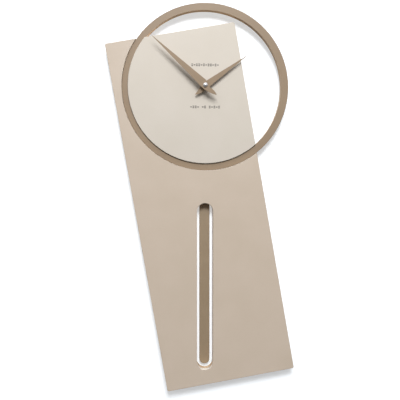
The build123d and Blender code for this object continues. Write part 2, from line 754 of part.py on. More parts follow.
for name, piece in (
    ("base_board", base_board),
    ("front_panel", front_panel),
    ("dial_plate", dial_plate),
    ("hanging_batten", hanging_batten),
    ("keyhole_plate", keyhole_plate),
    ("keyhole_plate_screws", keyhole_plate_screws),
    ("batten_screws", batten_screws),
    ("spacer_screws", spacer_screws),
    ("movement_case", movement_case),
    ("movement_rear_cover", movement_rear_cover),
    ("gear_plate", gear_plate),
    ("gear_plate_screws", gear_plate_screws),
    ("threaded_bushing", threaded_bushing),
    ("dial_gasket", dial_gasket),
    ("bushing_washer", bushing_washer),
    ("bushing_nut", bushing_nut),
    ("circuit_board", circuit_board),
    ("control_chip", control_chip),
    ("quartz_crystal", quartz_crystal),
    ("motor_stator", motor_stator),
    ("coil_core", coil_core),
    ("coil_bobbin", coil_bobbin),
    ("coil_winding", coil_winding),
    ("battery_cell", battery_cell),
    ("battery_contact_plus", battery_contact_plus),
    ("battery_contact_minus", battery_contact_minus),
    ("rotor_arbor", rotor_arbor),
    ("rotor_magnet", rotor_magnet),
    ("intermediate_wheel", intermediate_wheel),
    ("second_wheel", second_wheel),
    ("third_wheel", third_wheel),
    ("centre_wheel", centre_wheel),
    ("minute_arbor", minute_arbor),
    ("motion_wheel", motion_wheel),
    ("setting_knob", setting_knob),
    ("hour_wheel", hour_wheel),
    ("hour_hand", hour_hand),
    ("minute_hand", minute_hand),
    ("hand_cap_nut", hand_cap_nut),
    ("pendulum_pivot_pin", pendulum_pivot_pin),
    ("pendulum_coil", pendulum_coil),
    ("pendulum_lever", pendulum_lever),
    ("pendulum_magnet", pendulum_magnet),
    ("pendulum_hanger", pendulum_hanger),
    ("pendulum_rod", pendulum_rod),
    ("hanger_rivets", hanger_rivets),
):
    save(piece, name)
    print(name, piece.part.volume, len(piece.part.solids()))
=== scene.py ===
import math

import bmesh
import bpy
from mathutils import Matrix, Vector


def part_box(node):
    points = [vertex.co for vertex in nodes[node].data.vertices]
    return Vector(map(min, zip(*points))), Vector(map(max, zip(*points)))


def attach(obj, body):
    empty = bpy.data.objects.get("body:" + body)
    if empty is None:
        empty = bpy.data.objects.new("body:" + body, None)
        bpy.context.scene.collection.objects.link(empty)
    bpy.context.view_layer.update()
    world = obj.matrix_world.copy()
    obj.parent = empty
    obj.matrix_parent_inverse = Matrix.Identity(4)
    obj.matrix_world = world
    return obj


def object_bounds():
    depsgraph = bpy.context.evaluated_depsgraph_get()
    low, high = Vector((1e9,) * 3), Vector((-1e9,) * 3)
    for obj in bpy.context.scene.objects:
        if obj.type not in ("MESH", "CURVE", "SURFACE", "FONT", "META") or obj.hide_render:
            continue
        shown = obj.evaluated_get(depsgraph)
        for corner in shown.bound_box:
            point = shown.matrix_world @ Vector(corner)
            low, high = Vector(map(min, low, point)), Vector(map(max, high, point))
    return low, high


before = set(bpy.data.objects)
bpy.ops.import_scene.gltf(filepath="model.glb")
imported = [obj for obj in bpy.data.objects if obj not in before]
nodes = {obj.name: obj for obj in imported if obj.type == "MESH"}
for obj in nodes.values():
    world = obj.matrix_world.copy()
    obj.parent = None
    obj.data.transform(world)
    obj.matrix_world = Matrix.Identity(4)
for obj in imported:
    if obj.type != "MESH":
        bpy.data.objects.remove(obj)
cadLow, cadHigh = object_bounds()

dialLow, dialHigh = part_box("dial_plate")
bushLow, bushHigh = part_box("threaded_bushing")
coverLow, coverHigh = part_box("movement_rear_cover")
batteryLow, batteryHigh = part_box("battery_cell")
knobLow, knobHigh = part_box("setting_knob")
# hands axis, on the dial's face
hub = Vector(((bushLow.x + bushHigh.x) / 2, dialLow.y, (bushLow.z + bushHigh.z) / 2))
dialRadius = hub.z - dialLow.z
mm = 0.001
noiseScale = 1000.0  # the scale of a noise whose patches are about 1 mm wide
bandScale = 314.16  # the scale of a wave whose bands are 1 mm apart
noiseMiddle = {"From Min": 0.3, "From Max": 0.7}  # the range that a noise mostly keeps to


def linear(hexText):
    parts = [int(hexText[i:i + 2], 16) / 255 for i in (1, 3, 5)]
    return [c / 12.92 if c <= 0.04045 else ((c + 0.055) / 1.055) ** 2.4 for c in parts] + [1.0]


def addNode(tree, kind, settings, links=()):
    node = tree.nodes.new("ShaderNode" + kind)
    for name, value in settings.items():
        if isinstance(name, str) and name[0].islower():
            setattr(node, name, value)  # a property of the node
        else:
            node.inputs[name].default_value = value
    for name, socket in dict(links).items():
        tree.links.new(socket, node.inputs[name])
    return node


def newMaterial(name, look):
    material = bpy.data.materials.new(name)
    material.use_nodes = True
    material.diffuse_color = linear(look["colour"])
    tree = material.node_tree
    shader = tree.nodes["Principled BSDF"]
    shader.inputs["Metallic"].default_value = look.get("metallic", 0.0)
    sockets = {"IOR": "ior", "Coat Weight": "coat", "Coat Roughness": "coatRoughness", "Sheen Weight": "sheen"}
    for socket, key in sockets.items():
        if key in look:
            shader.inputs[socket].default_value = look[key]
    place = addNode(tree, "TexCoord", {}).outputs["Object"]
    return material, tree, shader, place


def patchyColour(tree, place, look):
    # two tones in soft patches, look["patch"] millimetres wide
    settings = {"Scale": noiseScale / look["patch"], "Detail": 3.0, "Roughness": 0.5}
    cloud = addNode(tree, "TexNoise", settings, {"Vector": place}).outputs["Fac"]
    settings = {**noiseMiddle, "To Min": 0.0, "To Max": 1.0}
    patches = addNode(tree, "MapRange", settings, {"Value": cloud}).outputs["Result"]
    settings = {"data_type": "RGBA", 6: linear(look["colour"]), 7: linear(look["second"])}
    return addNode(tree, "Mix", settings, {0: patches}).outputs[2], patches


def wornEdges(tree, look, colour):
    # another colour within about look["wearWidth"] millimetres of a corner
    if "wear" not in look:
        return colour
    soft = addNode(tree, "Bevel", {"samples": 4, "Radius": look["wearWidth"] * mm}).outputs["Normal"]
    hard = addNode(tree, "NewGeometry", {}).outputs["Normal"]
    same = addNode(tree, "VectorMath", {"operation": "DOT_PRODUCT"}, {0: soft, 1: hard}).outputs["Value"]
    settings = {"From Min": 0.995, "From Max": 0.8, "To Min": 0.0, "To Max": look["wear"]}
    rubbed = addNode(tree, "MapRange", settings, {"Value": same}).outputs["Result"]
    settings = {"data_type": "RGBA", 7: linear(look["wearColour"])}
    return addNode(tree, "Mix", settings, {0: rubbed, 6: colour}).outputs[2]


def connectFinish(tree, shader, look, colour, glossFrom, height):
    tree.links.new(colour, shader.inputs["Base Color"])
    low, high = look["roughness"] - look["roughSpread"], look["roughness"] + look["roughSpread"]
    settings = {**noiseMiddle, "To Min": low, "To Max": high}
    gloss = addNode(tree, "MapRange", settings, {"Value": glossFrom}).outputs["Result"]
    tree.links.new(gloss, shader.inputs["Roughness"])
    settings = {"Strength": 1.0, "Distance": look["bump"] * mm}
    bump = addNode(tree, "Bump", settings, {"Height": height}).outputs["Normal"]
    tree.links.new(bump, shader.inputs["Normal"])


def bareCuts(tree, look, colour, grain):
    # faces that look along the board instead of out of it show the bare cut
    outward = addNode(tree, "TexCoord", {}).outputs["Normal"]
    facing = addNode(tree, "SeparateXYZ", {}, {"Vector": outward}).outputs["Y"]
    flat = addNode(tree, "Math", {"operation": "ABSOLUTE"}, {0: facing}).outputs[0]
    settings = {"From Min": 0.6, "From Max": 0.4, "To Min": 0.0, "To Max": 1.0}
    cut = addNode(tree, "MapRange", settings, {"Value": flat}).outputs["Result"]
    settings = {"data_type": "RGBA", 6: linear(look["cutEdge"]), 7: linear(look["cutFibre"])}
    chips = addNode(tree, "Mix", settings, {0: grain}).outputs[2]
    return addNode(tree, "Mix", {"data_type": "RGBA"}, {0: cut, 6: colour, 7: chips}).outputs[2]


def paintedShadeInJoint(tree, place, look, colour):
    # the narrow joint round the dial is painted near-black on its floor and wall, but not on the ring's face:
    # painted shade standing in for the shadow in the gap
    halfWidth, halfDepth = look["jointWidth"] / 2 * mm, look["jointDepth"] / 2 * mm
    fromHub = addNode(tree, "VectorMath", {"operation": "SUBTRACT", 1: hub}, {0: place}).outputs["Vector"]
    settings = {"operation": "MULTIPLY", 1: (1.0, 0.0, 1.0)}
    flatHub = addNode(tree, "VectorMath", settings, {0: fromHub}).outputs["Vector"]
    radius = addNode(tree, "VectorMath", {"operation": "LENGTH"}, {0: flatHub}).outputs["Value"]
    settings = {"operation": "COMPARE", 1: dialRadius + halfWidth, 2: halfWidth}
    inWidth = addNode(tree, "Math", settings, {0: radius}).outputs[0]
    depth = addNode(tree, "SeparateXYZ", {}, {"Vector": place}).outputs["Y"]
    settings = {"operation": "COMPARE", 1: dialHigh.y - halfDepth + look["jointBehind"] * mm, 2: halfDepth}
    inDepth = addNode(tree, "Math", settings, {0: depth}).outputs[0]
    joint = addNode(tree, "Math", {"operation": "MULTIPLY"}, {0: inWidth, 1: inDepth}).outputs[0]
    settings = {"data_type": "RGBA", 7: linear(look["jointShadeColour"])}
    return addNode(tree, "Mix", settings, {0: joint, 6: colour}).outputs[2]


# A sprayed, moulded, plated or sawn surface: two tones in patches, a fine grain for bump and gloss, worn edges.
def surfaceFinish(name, look):
    material, tree, shader, place = newMaterial(name, look)
    colour, patches = patchyColour(tree, place, look)
    settings = {"Scale": noiseScale / look["grain"], "Detail": 2.0, "Roughness": 0.5}
    grain = addNode(tree, "TexNoise", settings, {"Vector": place}).outputs["Fac"]
    if "speckle" in look:
        settings = {"Scale": noiseScale / look["speckle"]}
        dots = addNode(tree, "TexVoronoi", settings, {"Vector": place}).outputs["Distance"]
        settings = {"From Min": 0.0, "From Max": 0.35, "To Min": 0.55, "To Max": 0.0}
        near = addNode(tree, "MapRange", settings, {"Value": dots}).outputs["Result"]
        settings = {"data_type": "RGBA", 7: linear(look["speckleColour"])}
        colour = addNode(tree, "Mix", settings, {0: near, 6: colour}).outputs[2]
    colour = wornEdges(tree, look, colour)
    if "cutEdge" in look:
        colour = bareCuts(tree, look, colour, grain)
    if "jointWidth" in look:
        colour = paintedShadeInJoint(tree, place, look, colour)
    connectFinish(tree, shader, look, colour, grain, grain)
    return material


# Long fibres along one direction, for wood and for brushed or drawn metal.
def fibreFinish(name, look):
    material, tree, shader, place = newMaterial(name, look)
    settings = {"Rotation": (0.0, math.radians(look.get("turn", 0.0)), 0.0), "Scale": look["stretch"]}
    turned = addNode(tree, "Mapping", settings, {"Vector": place}).outputs["Vector"]
    settings = {
        "wave_type": "BANDS", "bands_direction": "Z", "Scale": bandScale / look["rings"],
        "Distortion": look["wander"], "Detail": 3.0, "Detail Scale": 0.7,
    }
    rings = addNode(tree, "TexWave", settings, {"Vector": turned}).outputs["Fac"]
    settings = {"Scale": noiseScale / look["fibre"], "Detail": 4.0, "Roughness": 0.6}
    fibres = addNode(tree, "TexNoise", settings, {"Vector": turned}).outputs["Fac"]
    # pores are the highest spots of a finer noise
    settings = {"Scale": noiseScale / (look["fibre"] * 0.6), "Detail": 1.0, "Roughness": 0.5}
    finer = addNode(tree, "TexNoise", settings, {"Vector": turned}).outputs["Fac"]
    settings = {"From Min": 0.62, "From Max": 0.72, "To Min": 0.0, "To Max": look["pore"]}
    pores = addNode(tree, "MapRange", settings, {"Value": finer}).outputs["Result"]
    settings = {**noiseMiddle, "To Min": 0.35, "To Max": 1.0}
    strands = addNode(tree, "MapRange", settings, {"Value": fibres}).outputs["Result"]
    tone = addNode(tree, "Math", {"operation": "MULTIPLY"}, {0: rings, 1: strands}).outputs[0]
    settings = {"data_type": "RGBA", 6: linear(look["colour"]), 7: linear(look["second"])}
    colour = addNode(tree, "Mix", settings, {0: tone}).outputs[2]
    settings = {"data_type": "RGBA", 7: linear(look["poreColour"])}
    colour = addNode(tree, "Mix", settings, {0: pores, 6: colour}).outputs[2]
    colour = wornEdges(tree, look, colour)
    connectFinish(tree, shader, look, colour, fibres, fibres)
    return material


# Fine even rings or turns side by side, for turned brass and for enamelled wire.
def woundFinish(name, look):
    material, tree, shader, place = newMaterial(name, look)
    settings = {
        "wave_type": "BANDS", "bands_direction": look["across"], "Scale": bandScale / look["pitch"],
        "Distortion": 0.4, "Detail": 1.0,
    }
    turns = addNode(tree, "TexWave", settings, {"Vector": place}).outputs["Fac"]
    colour, patches = patchyColour(tree, place, look)
    # the valleys between the rings or turns are painted darker: painted shade in the creases
    settings = {"To Min": look["valley"], "To Max": 0.0}
    valley = addNode(tree, "MapRange", settings, {"Value": turns}).outputs["Result"]
    settings = {"data_type": "RGBA", 7: linear(look["valleyColour"])}
    colour = addNode(tree, "Mix", settings, {0: valley, 6: colour}).outputs[2]
    connectFinish(tree, shader, look, colour, patches, turns)
    return material


def assign(material, *names):
    for name in names:
        slots = nodes[name].data.materials
        if not slots:
            slots.append(material)
        for i in range(len(slots)):
            slots[i] = material


# MDF sprayed with satin lacquer: faint cloudiness, edges rubbed a little, and an orange peel whose dimples are
# drawn 1.6 mm wide and its specks 2.4 mm apart, coarser than real, so that they show
lacquerLook = {
    "patch": 45.0, "grain": 1.6, "bump": 0.012, "roughness": 0.5, "roughSpread": 0.05, "ior": 1.46,
    "speckle": 2.4, "wear": 0.35, "wearWidth": 0.8, "wearColour": "#7F6A52",
}
# the cut edges of the boards are only sealed: pale, with a fine grain of chips
boardLook = dict(
    lacquerLook, colour="#8F7A61", second="#8A755D", speckleColour="#86725B", cutEdge="#E4CCB0",
    # the near-black joint colour is painted shade for the gap round the dial
    cutFibre="#DABD9D", jointWidth=0.8, jointDepth=3.9, jointBehind=0.1, jointShadeColour="#1B1918",
)
panelLook = dict(
    lacquerLook, colour="#C1B2A2", second="#BDAE9D", speckleColour="#B9AA99", wearColour="#CABDAE",
    cutEdge="#F0EAE2", cutFibre="#E9E2D8", roughness=0.46,
)
dialLook = dict(
    lacquerLook, colour="#D2CABF", second="#CFC7BB", speckleColour="#CBC3B6", wearColour="#DAD3C8",
    cutEdge="#E4DDD2", cutFibre="#DCD4C8", roughness=0.55,
)
rodLook = dict(lacquerLook, colour="#A08E76", second="#9B8971", speckleColour="#95836B", patch=22.0)
assign(surfaceFinish("tanLacqueredMdf", boardLook), "base_board")
assign(surfaceFinish("beigeLacqueredMdf", panelLook), "front_panel")
assign(surfaceFinish("creamLacqueredMdf", dialLook), "dial_plate")
assign(surfaceFinish("tanLacqueredRod", rodLook), "pendulum_rod")
print("lacquered boards done")

# stamped aluminium, powder coated tan: fine dimpled coat, a trace of bare metal on the sharp rims
handLook = {
    "colour": "#937D64", "second": "#8E7960", "patch": 14.0, "grain": 0.5, "bump": 0.01,
    "roughness": 0.48, "roughSpread": 0.06, "ior": 1.5,
    "wear": 0.25, "wearWidth": 0.25, "wearColour": "#B0A392",
}
# satin chrome on brass: a soft bright glint with faint polishing marks
chromeLook = {
    "colour": "#EEEFF1", "second": "#E2E4E8", "patch": 2.0, "grain": 0.2, "bump": 0.001,
    "roughness": 0.38, "roughSpread": 0.05, "metallic": 0.7,
}
assign(surfaceFinish("powderCoatedHands", handLook), "hour_hand", "minute_hand")
assign(surfaceFinish("chromeCap", chromeLook), "hand_cap_nut")

# planed poplar, unfinished: pale growth bands about 3 mm apart, short dark pores, rough sawn feel
poplarLook = {
    "colour": "#C9AC84", "second": "#A98660", "poreColour": "#6E5236", "pore": 0.5, "rings": 3.2, "wander": 5.0,
    "fibre": 1.4, "stretch": (0.06, 1.0, 1.0), "roughness": 0.7, "roughSpread": 0.08, "bump": 0.06, "ior": 1.5,
    "wear": 0.4, "wearWidth": 0.7, "wearColour": "#B8986E",
}
# the spacers are cut along the board, so their bands run with the tilt
spacerLook = dict(poplarLook, stretch=(1.0, 1.0, 0.06), turn=-10.0)
# zinc plated steel: cool grey with a slight yellow bloom, rolled marks, brighter rubbed edges
zincLook = {
    "colour": "#B4B6B4", "second": "#A3A294", "patch": 5.0, "grain": 0.35, "bump": 0.006,
    "roughness": 0.34, "roughSpread": 0.09, "metallic": 1.0,
    "wear": 0.5, "wearWidth": 0.3, "wearColour": "#D2D3D0",
}
# pressed wool felt: soft mottled grey with a nap that catches light at its rim
feltLook = {
    "colour": "#6B6762", "second": "#57534F", "patch": 1.8, "grain": 0.5, "bump": 0.2,
    "roughness": 0.92, "roughSpread": 0.05, "sheen": 0.35, "speckle": 0.9, "speckleColour": "#8A857E",
}
zincSteel = surfaceFinish("zincPlatedSteel", zincLook)
assign(fibreFinish("planedPoplar", poplarLook), "hanging_batten")
assign(fibreFinish("planedPoplarUpright", spacerLook), "lower_spacer_left", "lower_spacer_right")
assign(
    zincSteel, "keyhole_plate", "keyhole_plate_screws", "batten_screws", "spacer_screws", "gear_plate_screws",
    "pendulum_pivot_pin", "pendulum_hanger", "hanger_rivets",
)
assign(surfaceFinish("woolFelt", feltLook), "wall_pad_left", "wall_pad_right")
print("hands and wall fixing done")

# black ABS from a spark-eroded mould: an even fine dimple and a dull sheen
blackAbsLook = {
    "colour": "#1C1C1E", "second": "#232325", "patch": 9.0, "grain": 0.35, "bump": 0.02,
    "roughness": 0.52, "roughSpread": 0.07, "ior": 1.53,
    "wear": 0.35, "wearWidth": 0.4, "wearColour": "#3A3A3C",
}
coverAbsLook = dict(blackAbsLook, colour="#2C2D30", second="#333438", wearColour="#505256", roughness=0.45)
# white acetal: waxy, faintly translucent looking, smooth with flow marks
acetalLook = {
    "colour": "#E8E6DF", "second": "#DEDBD2", "patch": 3.0, "grain": 0.3, "bump": 0.004,
    "roughness": 0.33, "roughSpread": 0.05, "ior": 1.48, "coat": 0.15, "coatRoughness": 0.3,
}
knobLook = dict(acetalLook, colour="#DCDAD4", second="#D2CFC7", wear=0.3, wearWidth=0.4, wearColour="#C4C0B6")
leverLook = dict(acetalLook, colour="#D9D5C8", second="#CFCABB", roughness=0.4)
bobbinLook = dict(acetalLook, colour="#3E4C63", second="#37445A", roughness=0.42)
# nitrile rubber washer: matt charcoal with a dusty bloom
rubberLook = {
    "colour": "#2A2A2A", "second": "#3A3938", "patch": 4.0, "grain": 0.4, "bump": 0.02,
    "roughness": 0.78, "roughSpread": 0.08, "ior": 1.52,
}
assign(surfaceFinish("blackAbs", blackAbsLook), "movement_case", "gear_plate")
assign(surfaceFinish("greyAbsCover", coverAbsLook), "movement_rear_cover")
acetal = surfaceFinish("whiteAcetal", acetalLook)
assign(
    acetal, "rotor_arbor", "intermediate_wheel", "second_wheel", "third_wheel", "centre_wheel", "motion_wheel",
    "hour_wheel",
)
assign(surfaceFinish("knobAcetal", knobLook), "setting_knob")
assign(surfaceFinish("leverAcetal", leverLook), "pendulum_lever")
assign(surfaceFinish("bobbinNylon", bobbinLook), "coil_bobbin")
assign(surfaceFinish("nitrileRubber", rubberLook), "dial_gasket")

# turned brass: warm yellow, fine lathe rings round the arbor and a little tarnish
brassLook = {
    "colour": "#C9A55C", "second": "#A8863F", "patch": 1.5, "pitch": 0.5, "across": "Y",
    "valley": 0.3, "valleyColour": "#7D6230", "roughness": 0.3, "roughSpread": 0.08, "metallic": 1.0, "bump": 0.02,
}
# enamelled copper wire, 0.1 mm, its turns drawn 0.3 mm apart so that they show, with painted shade between them
copperLook = {
    "colour": "#A8562C", "second": "#8E4522", "patch": 2.0, "pitch": 0.3, "across": "X",
    "valley": 0.55, "valleyColour": "#4A2210", "roughness": 0.32, "roughSpread": 0.06, "metallic": 0.6,
    "bump": 0.05,
}
padCoilLook = dict(copperLook, across="Z")
# sintered ferrite: dark slate, slightly sparkling, dusty
ferriteLook = {
    "colour": "#3C3D40", "second": "#2F3033", "patch": 1.2, "grain": 0.25, "bump": 0.02,
    "roughness": 0.6, "roughSpread": 0.1, "metallic": 0.4, "wear": 0.4, "wearWidth": 0.3, "wearColour": "#5B5C60",
}
# silicon steel strip: blue-grey with straight rolling marks
stripLook = {
    "colour": "#8E9296", "second": "#7E8286", "poreColour": "#5E6266", "pore": 0.3, "rings": 1.2, "wander": 1.0,
    "fibre": 0.6, "stretch": (0.05, 1.0, 1.0), "roughness": 0.38, "roughSpread": 0.1, "metallic": 1.0,
    "bump": 0.004,
}
# nickel plated spring strip and crystal can: bright, pale, faintly brushed
nickelLook = dict(stripLook, colour="#C8C6BF", second="#B9B7B0", poreColour="#96948D", roughness=0.26)
# glass-epoxy board under green solder mask, with paler copper tracks showing through
maskLook = {
    "colour": "#1E5A3A", "second": "#2F7A50", "patch": 1.6, "grain": 0.3, "bump": 0.02,
    "roughness": 0.35, "roughSpread": 0.06, "ior": 1.5, "speckle": 2.2, "speckleColour": "#B9B48C",
}
# cast black epoxy: glossy drop with a few tiny pits
epoxyLook = {
    "colour": "#141414", "second": "#1B1B1B", "patch": 1.0, "grain": 0.4, "bump": 0.01,
    "roughness": 0.22, "roughSpread": 0.05, "ior": 1.55,
}
assign(woundFinish("turnedBrass", brassLook), "threaded_bushing", "bushing_washer", "bushing_nut", "minute_arbor")
assign(woundFinish("enamelledCopper", copperLook), "coil_winding")
assign(woundFinish("enamelledCopperPad", padCoilLook), "pendulum_coil")
assign(surfaceFinish("sinteredFerrite", ferriteLook), "rotor_magnet", "pendulum_magnet")
assign(fibreFinish("siliconSteel", stripLook), "coil_core", "motor_stator")
assign(fibreFinish("nickelStrip", nickelLook), "quartz_crystal", "battery_contact_plus", "battery_contact_minus")
assign(surfaceFinish("greenCircuitBoard", maskLook), "circuit_board")
assign(surfaceFinish("castEpoxy", epoxyLook), "control_chip")

# shrink sleeve on a steel can: dark body, a coppery band towards the positive end, bare steel at both ends,
# and a little dust; lengths in millimetres
sleeveLook = {
    "colour": "#23272B", "band": "#A8743E", "steel": "#C9CACB", "dustColour": "#7E7C78", "dust": 0.12,
    "nipple": 1.2, "bareEnds": 0.7, "bandLength": 13.0, "grain": 0.8, "bump": 0.006,
    "glossiest": 0.24, "dullest": 0.34,
}


def sleeveFinish(name, look):
    material, tree, shader, place = newMaterial(name, look)
    along = addNode(tree, "SeparateXYZ", {}, {"Vector": place}).outputs["X"]
    sleeveEnd = batteryHigh.x - look["nipple"] * mm
    settings = {"operation": "GREATER_THAN", 1: sleeveEnd - look["bandLength"] * mm}
    band = addNode(tree, "Math", settings, {0: along}).outputs[0]
    halfSleeve = (sleeveEnd - batteryLow.x) / 2 - look["bareEnds"] * mm
    settings = {"operation": "COMPARE", 1: (batteryLow.x + sleeveEnd) / 2, 2: halfSleeve}
    sleeved = addNode(tree, "Math", settings, {0: along}).outputs[0]
    settings = {"Scale": noiseScale / look["grain"], "Detail": 3.0, "Roughness": 0.5}
    grain = addNode(tree, "TexNoise", settings, {"Vector": place}).outputs["Fac"]
    settings = {"data_type": "RGBA", 6: linear(look["colour"]), 7: linear(look["band"])}
    printed = addNode(tree, "Mix", settings, {0: band}).outputs[2]
    settings = {**noiseMiddle, "To Min": 0.0, "To Max": look["dust"]}
    dust = addNode(tree, "MapRange", settings, {"Value": grain}).outputs["Result"]
    settings = {"data_type": "RGBA", 7: linear(look["dustColour"])}
    dusty = addNode(tree, "Mix", settings, {0: dust, 6: printed}).outputs[2]
    settings = {"data_type": "RGBA", 6: linear(look["steel"])}
    colour = addNode(tree, "Mix", settings, {0: sleeved, 7: dusty}).outputs[2]
    tree.links.new(colour, shader.inputs["Base Color"])
    metal = addNode(tree, "MapRange", {"To Min": 1.0, "To Max": 0.0}, {"Value": sleeved}).outputs["Result"]
    tree.links.new(metal, shader.inputs["Metallic"])
    settings = {**noiseMiddle, "To Min": look["glossiest"], "To Max": look["dullest"]}
    gloss = addNode(tree, "MapRange", settings, {"Value": grain}).outputs["Result"]
    tree.links.new(gloss, shader.inputs["Roughness"])
    settings = {"Strength": 1.0, "Distance": look["bump"] * mm}
    bump = addNode(tree, "Bump", settings, {"Height": grain}).outputs["Normal"]
    tree.links.new(bump, shader.inputs["Normal"])
    return material


assign(sleeveFinish("batterySleeve", sleeveLook), "battery_cell")
print("movement finishes done")


def finishPiece(bm, name, material, body, smooth=False):
    bmesh.ops.recalc_face_normals(bm, faces=bm.faces[:])
    mesh = bpy.data.meshes.new(name)
    for face in bm.faces:
        face.smooth = smooth
    bm.to_mesh(mesh)
    bm.free()
    piece = bpy.data.objects.new(name, mesh)
    bpy.context.scene.collection.objects.link(piece)
    mesh.materials.append(material)
    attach(piece, body)


def addBlock(bm, centre, size, ease=0.0):
    # one block, its size along X, Y and Z, with eased edges
    made = bmesh.ops.create_cube(bm, size=1.0)["verts"]
    bmesh.ops.scale(bm, vec=Vector(size), verts=made)
    if ease:
        edges = list({e for v in made for e in v.link_edges})
        cut = bmesh.ops.bevel(
            bm, geom=edges, offset=ease, offset_type="OFFSET", segments=2, profile=0.5, affect="EDGES", material=-1
        )
        made = list({v for f in cut["faces"] for v in f.verts} | {v for v in made if v.is_valid})
    bmesh.ops.translate(bm, vec=Vector(centre), verts=made)


# screen-printed ink on the dial: two rows of small plain dashes
dashRows = {
    "upper": {"height": 32.4, "cells": "=-==-=-==-=-"},
    "lower": {"height": -32.0, "cells": "-==- -= =-=-="},
    "pitch": 3.6, "length": 2.6, "stroke": 1.15, "gap": 2.5, "thickness": 0.06,
}
inkLook = {
    "colour": "#1E1B1A", "second": "#272423", "patch": 2.0, "grain": 0.4, "bump": 0.01,
    "roughness": 0.6, "roughSpread": 0.08, "ior": 1.5,
}
ink = surfaceFinish("printedInk", inkLook)
for rowName in ("upper", "lower"):
    row = dashRows[rowName]
    bm = bmesh.new()
    first = -(len(row["cells"]) - 1) / 2 * dashRows["pitch"]
    for i, mark in enumerate(row["cells"]):
        lifts = {"=": (-0.5, 0.5), "-": (0.0,), " ": ()}[mark]
        for lift in lifts:
            centre = (
                hub.x + (first + i * dashRows["pitch"]) * mm,
                hub.y - dashRows["thickness"] / 2 * mm,
                hub.z + (row["height"] + lift * dashRows["gap"]) * mm,
            )
            addBlock(bm, centre, (dashRows["length"] * mm, dashRows["thickness"] * mm, dashRows["stroke"] * mm))
    finishPiece(bm, "dial_dashes_" + rowName, ink, "clock")
print("dial dashes done")

# moulded relief on the rear cover: a border, vent ribs and polarity signs, in millimetres
reliefSize = {
    "rise": 0.5, "rib": 1.0, "ease": 0.15, "inset": 3.2, "lowerShare": 0.66,
    "ventCount": 7, "ventPitch": 2.4, "ventLength": 22.0, "ventTaper": 0.04, "ventRib": 0.8, "ventGap": 5.0,
    "ventDrop": 5.5, "signSize": 4.0, "signRib": 0.9, "signLift": 3.6, "minusInset": 3.0, "plusInset": 4.0,
}
# the mould is polished where it forms the relief, so the ribs come out paler and glossier than the cover
reliefAbsLook = dict(coverAbsLook, colour="#4C4D51", second="#55565A", wearColour="#6C6D71", roughness=0.34)
reliefAbs = surfaceFinish("polishedAbsRelief", reliefAbsLook)
coverFace = coverHigh.y  # the side that faces the wall
bm = bmesh.new()
rise, ribEase = reliefSize["rise"] * mm, reliefSize["ease"] * mm
ribY = coverFace + reliefSize["rise"] / 2 * mm
ribWide = reliefSize["rib"] * mm
centreX, centreZ = (coverLow.x + coverHigh.x) / 2, (coverLow.z + coverHigh.z) / 2
spanX = (coverHigh.x - coverLow.x) / 2 - reliefSize["inset"] * mm
spanZ = (coverHigh.z - coverLow.z) / 2 - reliefSize["inset"] * mm
# the upper border, and a lower one that leaves the pendulum's notch clear
addBlock(bm, (centreX, ribY, centreZ + spanZ), (2 * spanX, rise, ribWide), ribEase)
lowerSpan = spanX * reliefSize["lowerShare"]
for side in (-1, 1):
    place = (centreX + side * lowerSpan, ribY, centreZ - spanZ)
    addBlock(bm, place, (lowerSpan, rise, ribWide), ribEase)
# vent ribs below the battery, each pair a little shorter than the one above
ventTop = batteryLow.z - reliefSize["ventDrop"] * mm
for i in range(reliefSize["ventCount"]):
    for side in (-1, 1):
        length = reliefSize["ventLength"] * (1 - reliefSize["ventTaper"] * i) * mm
        ventX = centreX + side * (reliefSize["ventGap"] * mm + length / 2)
        place = (ventX, ribY, ventTop - i * reliefSize["ventPitch"] * mm)
        addBlock(bm, place, (length, rise, ribWide * reliefSize["ventRib"]), ribEase)
# polarity signs beside the ends of the cell: the minus, then the plus with its two stubs
signZ = batteryHigh.z + reliefSize["signLift"] * mm
signWide, signRib = reliefSize["signSize"] * mm, reliefSize["signRib"] * mm
minusX, plusX = batteryLow.x + reliefSize["minusInset"] * mm, batteryHigh.x - reliefSize["plusInset"] * mm
for signX in (minusX, plusX):
    addBlock(bm, (signX, ribY, signZ), (signWide, rise, signRib), ribEase)
stub = (signWide - signRib) / 2
for side in (-1, 1):
    addBlock(bm, (plusX, ribY, signZ + side * (signRib + stub) / 2), (signRib, rise, stub), ribEase)
finishPiece(bm, "cover_relief", reliefAbs, "clock")

# raised ring round the setting knob, spun from its profile; radii and heights in millimetres
knobRing = {"inner": 6.3, "outer": 7.5, "chamfer": 0.3, "foot": -0.2, "shoulder": 0.35, "top": 0.5, "sides": 48}
knobX, knobZ = (knobLow.x + knobHigh.x) / 2, (knobLow.z + knobHigh.z) / 2
bm = bmesh.new()
profile = [
    bm.verts.new((knobX + radius * mm, coverFace + height * mm, knobZ))
    for radius, height in (
        (knobRing["inner"], knobRing["foot"]), (knobRing["inner"], knobRing["shoulder"]),
        (knobRing["inner"] + knobRing["chamfer"], knobRing["top"]),
        (knobRing["outer"] - knobRing["chamfer"], knobRing["top"]),
        (knobRing["outer"], knobRing["shoulder"]), (knobRing["outer"], knobRing["foot"]),
    )
]
corners = len(profile)
edges = [bm.edges.new((profile[i], profile[(i + 1) % corners])) for i in range(corners)]
bmesh.ops.spin(
    bm, geom=profile + edges, cent=(knobX, coverFace, knobZ), axis=(0, 1, 0), angle=2 * math.pi,
    steps=knobRing["sides"], use_merge=True,
)
bmesh.ops.remove_doubles(bm, verts=bm.verts[:], dist=1e-7)
finishPiece(bm, "knob_ring", reliefAbs, "clock", True)
print("cover relief done")


# wall, floor and the light of the room: lengths in metres, the paint's stipple in millimetres
studio = {
    "planeSize": 6.0, "wallGap": 0.0008, "wallMiddle": -0.2, "floorDrop": 1.1,
    "wallColour": "#CCD1D6", "floorColour": "#E9E9E8", "wallGlow": 0.42, "floorGlow": 0.22,
    "stipple": 2.5, "smoothest": 0.9, "mattest": 1.0,
    "above": 0.85, "below": 0.05, "upward": (-0.3, 0.45), "front": 1.0, "behind": 0.12, "backward": (-0.1, 0.3),
    "background": 1.0, "white": "#FFFFFF",
}


